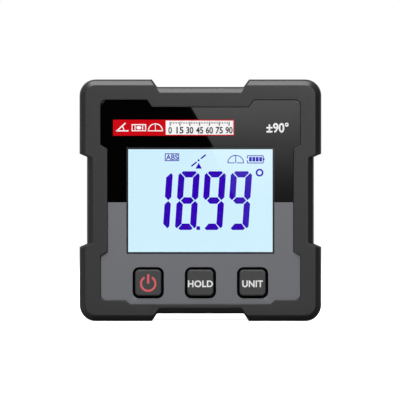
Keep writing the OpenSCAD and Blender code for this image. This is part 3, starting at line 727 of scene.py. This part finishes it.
def in_row(made, count, step, finish, body):
    """Repeats a piece along a row and gives it its finish and body."""
    rows = made.modifiers.new("row", "NODES")
    rows.node_group = row_tree
    rows[row_inputs["Count"]] = count
    rows[row_inputs["Step"]] = step
    rows[row_inputs["Finish"]] = finish
    settle(made)
    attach(made, body)


scale_x0, scale_x1 = -7.5, 7.1
fine_ticks, bold_ticks = 37, 7
tick_top = field_z1 - 0.3
black_ink = ink_and_painted_shade("label_black", (0.02, 0.02, 0.023), 0.4, 0.2)
fine_step = (scale_x1 - scale_x0) / (fine_ticks - 1)
bold_step = (scale_x1 - scale_x0) / (bold_ticks - 1)
fine = flat_shape("scale_fine", [bar(scale_x0, tick_top, scale_x0, tick_top - 0.5, 0.13)],
                  strip_low.y - 2 * ink_thick, ink_thick)
in_row(fine, fine_ticks, (fine_step * MM, 0, 0), black_ink, "case")
bold = flat_shape("scale_bold", [bar(scale_x0, tick_top, scale_x0, tick_top - 0.95, 0.24)],
                  strip_low.y - 2.2 * ink_thick, ink_thick)
in_row(bold, bold_ticks, (bold_step * MM, 0, 0), black_ink, "case")
number_height, digit_width = 1.65, 0.88
number_z = field_z0 + 0.28 + number_height / 2
for i in range(bold_ticks):
    number = str(i * 15)
    numerals = lettering(f"scale_number_{i}", number, scale_x0 + i * bold_step, number_z,
                         digit_width * len(number), number_height,
                         strip_low.y - 2 * ink_thick, ink_thick, 0.025)
    put_on(numerals, black_ink, "case")
range_mark = lettering("range_mark", "\u00b190\u00b0", 19.1, 18.0, 5.5, 2.5,
                       sheet_front - ink_thick, 1.5 * ink_thick, 0.025)
put_on(range_mark, ink_and_painted_shade("range_white", (0.9, 0.9, 0.9), 0.4, 0.3, 0.03), "case")


# Keys
# Three satin plastic caps, square with round corners and slightly crowned. The first has a red power
# mark and the others a white word each, printed on top.

key_plastic = moulded_plastic("key_plastic", (0.043, 0.043, 0.044), 0.45, 0.0002, 0.000008)
print_thick = 0.04 * MM
ring_z, ring_radius, ring_line, gap_half = -0.22, 1.78, 0.52, 31
power_x, power_z = key_places[0]
power_mark = arc_bars(power_x, power_z + ring_z, ring_radius, 90 + gap_half, 450 - gap_half, ring_line, 40)
power_mark += [bar(power_x, power_z - 0.2, power_x, power_z + 2.1, 0.54)]
for node, name in zip(key_nodes, ("power_cap", "hold_cap", "unit_cap")):
    put_on(rounded_copy(name, node, 0.12 * MM, 3, 20), key_plastic, node)
mark_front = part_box("power_key")[0].y - 0.015 * MM
power_print = flat_shape("power_mark", power_mark, mark_front, print_thick)
put_on(power_print, ink_and_painted_shade("power_red", (0.68, 0.13, 0.145), 0.5, 0.1), "power_key")
key_white = ink_and_painted_shade("key_white", (0.82, 0.82, 0.82), 0.5, 0.15, 0.02)
for node, word, width in (("hold_key", "HOLD", 6.2), ("unit_key", "UNIT", 5.15)):
    x, z = in_face(node)
    printed = lettering(word.lower() + "_word", word, x, z - 0.26, width, 1.7,
                        mark_front, print_thick, 0.032, 1.07)
    put_on(printed, key_white, node)


# Display
# A liquid crystal cell lit from behind. Its light is brighter towards the upper right, partly nearer its
# lights and partly a painted reflection. Its unlit glass is pale blue and its strokes, between the two
# panes of glass, are a deep violet blue.

lit_low, lit_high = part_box("display_front_glass")
glow_finish, nodes, links, shader = new_finish("lit_glass")
shader.inputs["Base Color"].default_value = (0.02, 0.03, 0.035, 1)
shader.inputs["Specular IOR Level"].default_value = 0      # the pane in front has the gloss
shader.inputs["Emission Strength"].default_value = 1.06
parts = object_place(nodes, links)
# Brighter towards the upper right: partly nearer the lamps at the right edge, partly a painted reflection.
nearer = ramp_node(nodes, links, parts.outputs["X"], -0.01, lit_high.x, 0, 1)
higher = ramp_node(nodes, links, parts.outputs["Z"], case_middle.z - 0.002, lit_high.z, 0, 1)
evenness = math_node(nodes, links, "MULTIPLY_ADD", noise_node(nodes, links, 150), 0.02, -0.01)
backlight_and_painted_reflection = math_node(nodes, links, "ADD", math_node(nodes, links, "MULTIPLY", nearer, higher), evenness)
lit_tone = two_tone(nodes, links, backlight_and_painted_reflection, (0.639, 0.88, 0.996, 1), (0.7, 0.9, 1, 1))
links.new(lit_tone, shader.inputs["Emission Color"])
finish_node("display_front_glass", glow_finish)

glass_front = lit_low.y
depth_scale = 1 + (glass_front - cad_low.y) / camera_distance   # the glass lies a little deeper
lean = math.tan(math.radians(3.83))
digit_middle_z = -0.1
# One stroke of each kind, as (x, z) in millimetres from the middle of the digit
upper_stroke = [(-1.54, 7.28), (-1.87, 6.88), (-0.81, 5.75), (0.81, 5.75), (1.87, 6.88), (1.54, 7.28)]
lower_stroke = [(-1.32, 7.25), (-1.78, 6.85), (-0.84, 5.66), (0.84, 5.66), (1.78, 6.85), (1.32, 7.25)]
middle_stroke = [(-1.62, 0.04), (-0.88, 0.84), (0.88, 0.84), (1.62, 0.04), (0.88, -0.76), (-0.88, -0.76)]


def side_stroke(inner, tip):
    return [(2.19, 6.86), (inner, 5.72), (inner, tip + 0.86), (1.93, tip), (2.63, tip + 0.7), (2.63, 6.33)]


STROKES = {"a": (upper_stroke, 1, 1), "g": (middle_stroke, 1, 1), "d": (lower_stroke, 1, -1),
           "b": (side_stroke(1.03, 0.12), 1, 1), "c": (side_stroke(1.07, 0.06), 1, -1),
           "e": (side_stroke(1.04, 0.06), -1, -1), "f": (side_stroke(1.08, 0.12), -1, 1)}
LIT_STROKES = {"1": "bc", "8": "abcdefg", "9": "abcdfg"}


def segment(kind, middle_x):
    points, sign_x, sign_z = STROKES[kind]
    return [(middle_x + x * sign_x + lean * z * sign_z, digit_middle_z + z * sign_z) for x, z in points]


def deeper(outlines):
    return [[(x * depth_scale, z * depth_scale) for x, z in outline] for outline in outlines]


def lit_ink(name, colour):
    """A dark stroke of the display, seen against its light."""
    finish, nodes, links, shader = new_finish(name)
    shader.inputs["Base Color"].default_value = (0.01, 0.01, 0.02, 1)
    shader.inputs["Specular IOR Level"].default_value = 0
    shader.inputs["Emission Strength"].default_value = 1
    shade = math_node(nodes, links, "MULTIPLY_ADD", noise_node(nodes, links, 500), 0.1, 0.95)
    links.new(shaded(nodes, links, colour, shade), shader.inputs["Emission Color"])
    return finish


dark_ink = lit_ink("stroke_ink", (0.034, 0.0008, 0.485))
thin_ink = lit_ink("thin_ink", (0.05, 0.01, 0.42))
lcd_front = glass_front - ink_thick
for place, (digit, x) in enumerate([("1", -9.89), ("8", -3.23), ("9", 3.25), ("9", 9.71)]):
    strokes = deeper([segment(kind, x) for kind in LIT_STROKES[digit]])
    put_on(flat_shape(f"digit_{place}", strokes, lcd_front, ink_thick), dark_ink, "case")
point_x, point_z, point_half = -0.53, -6.88, 0.45
point_corners = ((-1, -1), (1, -1), (1, 1), (-1, 1))
small = [[(point_x + sx * point_half, point_z + sz * point_half) for sx, sz in point_corners]]
small += arc_bars(14.63, 6.83, 0.76, 0, 360, 0.42, 32)
put_on(flat_shape("point_and_degree", deeper(small), lcd_front, ink_thick), dark_ink, "case")

level_marks = [fan(-0.45, 9.89, 0.27, 0.27, 0, 330, 11),
               bar(-2.24, 8.42, -0.92, 9.47, 0.36), bar(0.1, 10.3, 1.34, 11.26, 0.36),
               [(-0.42, 9.3), (-1.2, 7.82), (0.36, 7.82)]]
dome_x, dome_z, dome_w, dome_h, thin = 8.73, 9.24, 1.95, 1.87, 0.21
dome = [bar(dome_x - dome_w, dome_z, dome_x - 0.25, dome_z, thin),
        bar(dome_x + 0.25, dome_z, dome_x + dome_w, dome_z, thin),
        bar(dome_x, dome_z, dome_x, dome_z + dome_h, thin)]
rim_angles = [math.radians(a) for a in range(0, 181, 12)]
rim = [(dome_x + dome_w * math.cos(a), dome_z + dome_h * math.sin(a)) for a in rim_angles]
dome += [bar(*rim[i], *rim[i + 1], thin) for i in range(len(rim) - 1)]
battery_x0, battery_x1, battery_z0, battery_z1 = 11.6, 15.52, 9.22, 11.02
battery = [bar(battery_x0, battery_z1, battery_x1, battery_z1, thin),
           bar(battery_x0, battery_z0, battery_x1, battery_z0, thin),
           bar(battery_x1, battery_z0, battery_x1, battery_z1, thin),
           bar(battery_x1 + 0.2, 9.85, battery_x1 + 0.2, 10.45, 0.25),
           bar(battery_x0, battery_z0, battery_x0, battery_z0 + 0.7, thin),
           bar(battery_x0, battery_z1 - 0.7, battery_x0, battery_z1, thin)]
abs_box = frame_bars(-8.8, 9.7, -5.27, 11.6, thin)
put_on(flat_shape("level_marks", deeper(level_marks), lcd_front, ink_thick), dark_ink, "case")
thin_marks = deeper(dome + battery + abs_box)
put_on(flat_shape("thin_marks", thin_marks, lcd_front, ink_thick), thin_ink, "case")
abs_word = lettering("abs_word", "ABS", -7.03 * depth_scale, 10.65 * depth_scale, 3.0, 1.35,
                     lcd_front, ink_thick, 0.02)
put_on(abs_word, thin_ink, "case")
charge = flat_shape("charge_bars", deeper([bar(12.37, 9.6, 12.37, 10.7, 0.7)]), lcd_front, ink_thick)
in_row(charge, 4, (0.84 * depth_scale * MM, 0, 0), dark_ink, "case")


# Light behind the display
# The rear glass, a diffusing film, a light guide lit from its right edge by three small lamps and a
# white film behind it, all dropped into a white moulded frame that is clipped to the board.

rear_glass, nodes, links, shader = new_finish("rear_glass")
shader.inputs["Transmission Weight"].default_value = 1
shader.inputs["IOR"].default_value = 1.52
shader.inputs["Roughness"].default_value = 0.02
tint = ramp_node(nodes, links, noise_node(nodes, links, 120), 0, 1, 0.9, 0.96)
links.new(tint, shader.inputs["Base Color"])
finish_node("display_rear_glass", rear_glass)


def white_film(name, brightness, roughness, grain):
    """A thin white film with a fine texture."""
    finish, nodes, links, shader = new_finish(name)
    fibre = noise_node(nodes, links, grain, 4)
    shade = ramp_node(nodes, links, fibre, 0.3, 0.7, brightness - 0.03, brightness)
    links.new(shade, shader.inputs["Base Color"])
    shader.inputs["Roughness"].default_value = roughness
    bump = nodes.new("ShaderNodeBump")
    bump.inputs["Distance"].default_value = 0.000003
    links.new(noise_node(nodes, links, grain * 2, 2), bump.inputs["Height"])
    links.new(bump.outputs[0], shader.inputs["Normal"])
    return finish


finish_node("diffuser_sheet", white_film("diffusing_film", 0.88, 0.7, 4000))
finish_node("reflector_sheet", white_film("reflecting_film", 0.93, 0.35, 2000))

guide_finish, nodes, links, shader = new_finish("light_guide_acrylic")
shader.inputs["Transmission Weight"].default_value = 1
shader.inputs["IOR"].default_value = 1.49
shader.inputs["Base Color"].default_value = (0.97, 0.99, 1, 1)
dots = nodes.new("ShaderNodeTexVoronoi")
dots.inputs["Scale"].default_value = 1200
dots.inputs["Randomness"].default_value = 0.15
links.new(nodes.new("ShaderNodeTexCoord").outputs["Object"], dots.inputs["Vector"])
dotted = ramp_node(nodes, links, dots.outputs["Distance"], 0.25, 0.35, 0.5, 0.02)
links.new(dotted, shader.inputs["Roughness"])
finish_node("light_guide", guide_finish)

lamp_finish, nodes, links, shader = new_finish("small_lamp")
parts = object_place(nodes, links)
lamp_face_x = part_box("backlight_1")[0].x + 0.15 * MM
lamp_body = math_node(nodes, links, "GREATER_THAN", parts.outputs["X"], lamp_face_x)
lamp_tone = two_tone(nodes, links, lamp_body, (0.82, 0.56, 0.06, 1), (0.85, 0.85, 0.82, 1))
links.new(lamp_tone, shader.inputs["Base Color"])
lamp_polish = ramp_node(nodes, links, noise_node(nodes, links, 2500), 0, 1, 0.3, 0.45)
links.new(lamp_polish, shader.inputs["Roughness"])
for i in range(1, 4):
    finish_node(f"backlight_{i}", lamp_finish)

white_plastic = moulded_plastic("white_plastic", (0.78, 0.78, 0.76), 0.45, 0.0003, 0.000006)
put_on(rounded_copy("light_frame", "display_frame", 0.08 * MM, 2), white_plastic, "case")

strip_finish, nodes, links, shader = new_finish("striped_rubber")
parts = object_place(nodes, links)
stripe_pitch = 0.25 * MM
turns = math_node(nodes, links, "MULTIPLY", parts.outputs["X"], 2 * math.pi / stripe_pitch)
wave = math_node(nodes, links, "SINE", turns)
pale_stripe = math_node(nodes, links, "GREATER_THAN", wave, 0)
stripe_tone = two_tone(nodes, links, pale_stripe, (0.02, 0.02, 0.021, 1), (0.5, 0.47, 0.42, 1))
links.new(stripe_tone, shader.inputs["Base Color"])
shader.inputs["Roughness"].default_value = 0.6
finish_node("contact_strip", strip_finish)


# Board
# A glass-fibre board with a green mask over copper tracks. It carries the controller with its legs,
# the tilt sensor and the crystal's steel can, all soldered on.

board_low, board_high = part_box("main_board")
board_finish, nodes, links, shader = new_finish("masked_board")
parts = object_place(nodes, links)
flat_place = nodes.new("ShaderNodeCombineXYZ")
links.new(parts.outputs["X"], flat_place.inputs["X"])
links.new(parts.outputs["Z"], flat_place.inputs["Y"])
tracks = nodes.new("ShaderNodeTexBrick")
tracks.inputs["Scale"].default_value = 1
tracks.inputs["Brick Width"].default_value = 0.0062
tracks.inputs["Row Height"].default_value = 0.0013
tracks.inputs["Mortar Size"].default_value = 0.00022
tracks.inputs["Color1"].default_value = (0.006, 0.085, 0.03, 1)
tracks.inputs["Color2"].default_value = (0.007, 0.098, 0.036, 1)
tracks.inputs["Mortar"].default_value = (0.03, 0.19, 0.06, 1)
links.new(flat_place.outputs[0], tracks.inputs["Vector"])
inside = math_node(nodes, links, "MULTIPLY",
                   math_node(nodes, links, "GREATER_THAN", parts.outputs["Y"], board_low.y + 0.03 * MM),
                   math_node(nodes, links, "LESS_THAN", parts.outputs["Y"], board_high.y - 0.03 * MM))
board_tone = two_tone(nodes, links, inside, tracks.outputs["Color"], (0.36, 0.33, 0.16, 1))
links.new(board_tone, shader.inputs["Base Color"])
shader.inputs["Roughness"].default_value = 0.32
raised = nodes.new("ShaderNodeBump")
raised.inputs["Distance"].default_value = 0.00002
links.new(tracks.outputs["Fac"], raised.inputs["Height"])
links.new(raised.outputs[0], shader.inputs["Normal"])
finish_node("main_board", board_finish)

epoxy = moulded_plastic("chip_epoxy", (0.016, 0.016, 0.017), 0.55, 0.00012, 0.000005, 0.4)
put_on(rounded_copy("controller", "controller_chip", 0.1 * MM, 2), epoxy, "case")
put_on(rounded_copy("sensor", "tilt_sensor", 0.06 * MM, 2), epoxy, "case")
put_on(rounded_copy("crystal_can", "crystal", 0.2 * MM, 3), nickel, "case")

chip_low, chip_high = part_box("controller_chip")
leg_count, leg_pitch, leg_width, leg_thick, leg_reach = 10, 0.8 * MM, 0.32 * MM, 0.14 * MM, 1.1 * MM
leg_foot = 0.55 * MM
solder = metal("tinned_leg", (0.55, 0.55, 0.56), 0.3)


def leg(name, side, along_x):
    """The first leg of one side of the chip: out of the body, down to the board, and its foot."""
    half, middle = (chip_high.x - chip_low.x) / 2, (chip_low + chip_high) / 2
    body_y, foot_y = (chip_low.y + chip_high.y) / 2, board_high.y
    bend = leg_reach - leg_foot
    line = [(half, body_y), (half + bend - leg_thick, body_y), (half + bend - leg_thick, foot_y),
            (half + leg_reach, foot_y), (half + leg_reach, foot_y + leg_thick),
            (half + bend, foot_y + leg_thick),
            (half + bend, body_y + leg_thick), (half, body_y + leg_thick)]
    edge = -(leg_count - 1) / 2 * leg_pitch - leg_width / 2
    points = [(edge, y, side * out) if along_x else (side * out, y, edge) for out, y in line]
    shape = bmesh.new()
    draw_out(shape, points, (leg_width, 0, 0) if along_x else (0, 0, leg_width))
    bmesh.ops.translate(shape, verts=shape.verts, vec=(middle.x, 0, middle.z))
    return object_of(shape, name)


leg_rows = (("legs_right", 1, False), ("legs_left", -1, False),
            ("legs_upper", 1, True), ("legs_lower", -1, True))
for name, side, along_x in leg_rows:
    step = (leg_pitch, 0, 0) if along_x else (0, 0, leg_pitch)
    in_row(leg(name, side, along_x), leg_count, step, solder, "case")


# Switches
# Three tactile switches behind the keys: a black base under a bright steel cover, with a moulded
# plunger that the key's stem pushes.

switch_finish, nodes, links, shader = new_finish("switch_body")
parts = object_place(nodes, links)
cover_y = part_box("switch_1")[0].y + 0.35 * MM
cover = math_node(nodes, links, "LESS_THAN", parts.outputs["Y"], cover_y)
cover_tone = two_tone(nodes, links, cover, (0.015, 0.015, 0.016, 1), (0.55, 0.55, 0.54, 1))
links.new(cover_tone, shader.inputs["Base Color"])
links.new(cover, shader.inputs["Metallic"])
cover_polish = ramp_node(nodes, links, noise_node(nodes, links, 900), 0, 1, 0.28, 0.42)
links.new(cover_polish, shader.inputs["Roughness"])
plunger_plastic = moulded_plastic("plunger_plastic", (0.5, 0.4, 0.14), 0.45, 0.0002, 0.000004)
for i, key_node in enumerate(key_nodes, 1):
    finish_node(f"switch_{i}", switch_finish)
    finish_node(f"plunger_{i}", plunger_plastic)


# Cells and contacts
# Two size AAA cells lie end to end the opposite way round, between nickel-plated spring steel plates
# and coils that are pressed into slots of the tray.

dark_film, pale_film, bare_steel = (0.03, 0.035, 0.04, 1), (0.75, 0.76, 0.78, 1), (0.6, 0.6, 0.58, 1)
band_width, end_width, nub = 5 * MM, 0.55 * MM, 1.2 * MM
for node, sign in (("cell_1", 1), ("cell_2", -1)):
    cell_low, cell_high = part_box(node)
    wrapper_end = (cell_high.x - nub - end_width) if sign > 0 else -(cell_low.x + nub + end_width)
    wrapper_start = (cell_low.x + end_width) if sign > 0 else -(cell_high.x - end_width)
    wrapper, nodes, links, shader = new_finish(f"{node}_wrapper")
    parts = object_place(nodes, links)
    along_cell = math_node(nodes, links, "MULTIPLY", parts.outputs["X"], sign)
    band = math_node(nodes, links, "GREATER_THAN", along_cell, wrapper_end - band_width)
    bare_top = math_node(nodes, links, "GREATER_THAN", along_cell, wrapper_end)
    bare_base = math_node(nodes, links, "LESS_THAN", along_cell, wrapper_start)
    bare = math_node(nodes, links, "MAXIMUM", bare_top, bare_base)
    film = two_tone(nodes, links, band, dark_film, pale_film)
    links.new(two_tone(nodes, links, bare, film, bare_steel), shader.inputs["Base Color"])
    links.new(bare, shader.inputs["Metallic"])
    cell_polish = ramp_node(nodes, links, noise_node(nodes, links, 300), 0, 1, 0.2, 0.34)
    links.new(cell_polish, shader.inputs["Roughness"])
    finish_node(node, wrapper)
for node in ("plus_contact", "minus_contact", "bridge_contact", "spring_1", "spring_2"):
    finish_node(node, nickel)
